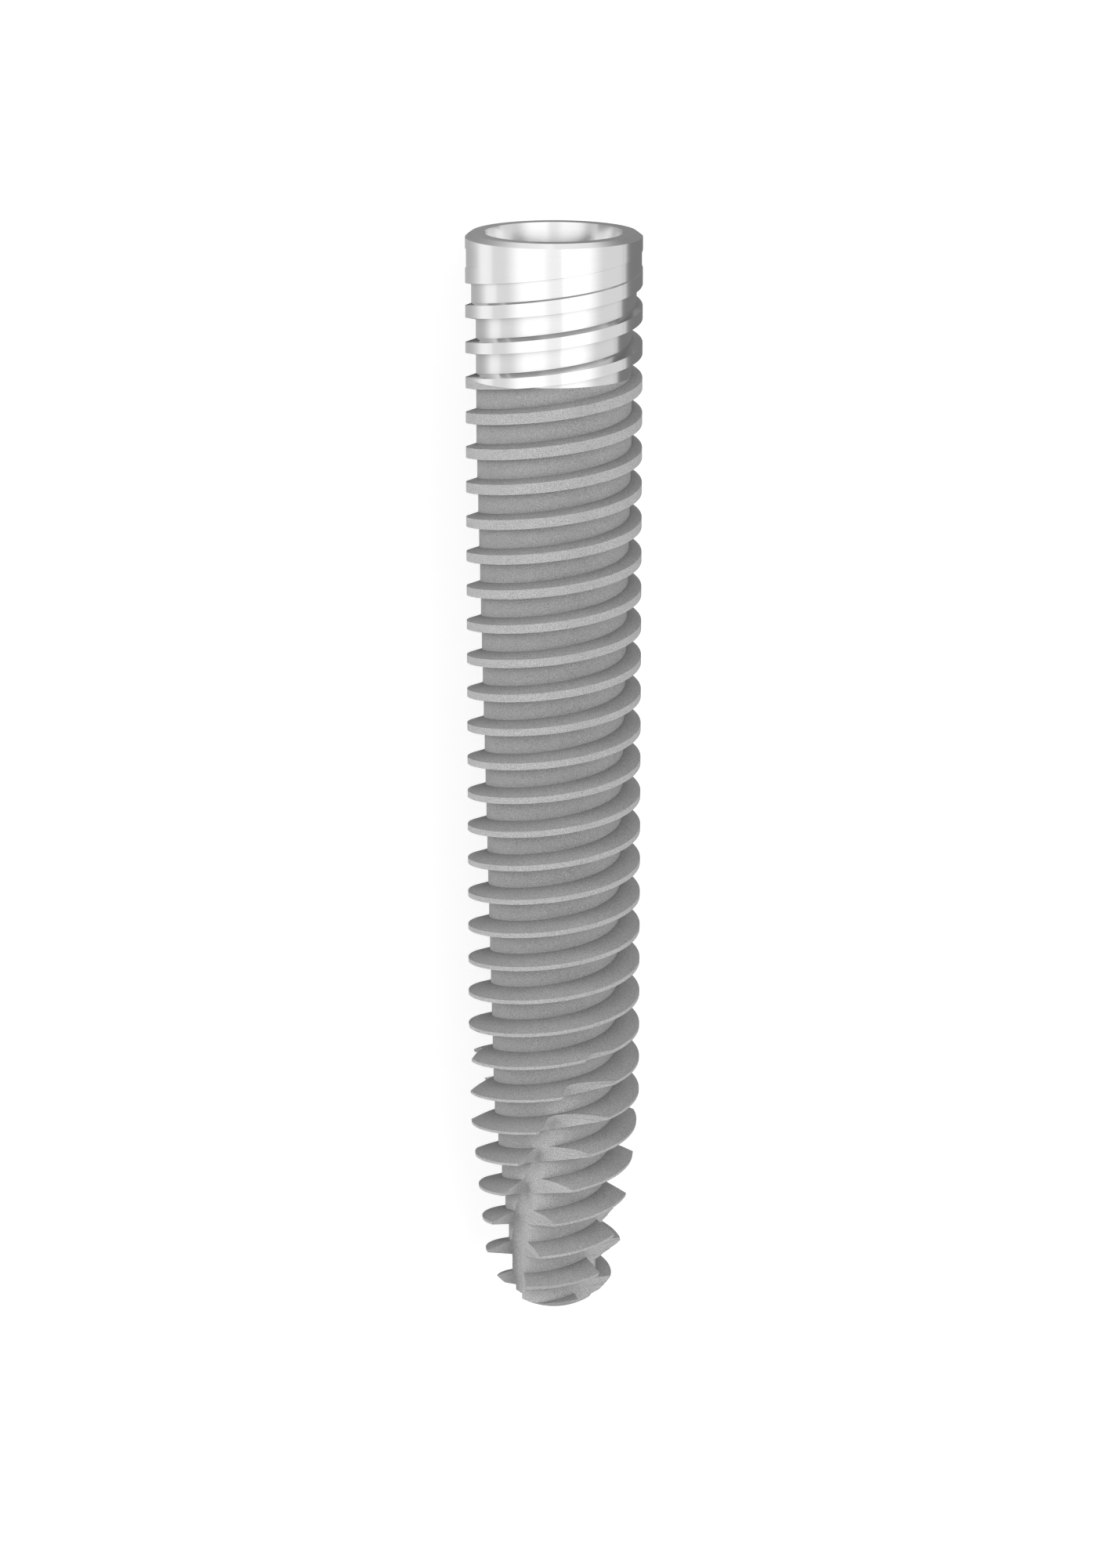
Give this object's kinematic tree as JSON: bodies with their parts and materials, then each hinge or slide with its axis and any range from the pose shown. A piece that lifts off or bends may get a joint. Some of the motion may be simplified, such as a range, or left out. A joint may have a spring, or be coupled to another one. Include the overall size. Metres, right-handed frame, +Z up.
{
  "type": "dental implant",
  "caption": "Long threaded dental implant with a conical socket, an index hexagon and cutting flutes at its domed apex.",
  "frame": {"origin": "below the middle of the lying screw, on the plane that its thread crests touch", "axes": "+Y along the screw's axis towards the platform, +Z up, +X to the right with the platform away from the viewer"},
  "size_m": [0.0038, 0.024, 0.0037],
  "materials": {
    "titanium": "titanium, matt grit-blasted, with a bright machined collar"
  },
  "bodies": {
    "root": {"implant_body": "titanium"}
  },
  "joints": []
}
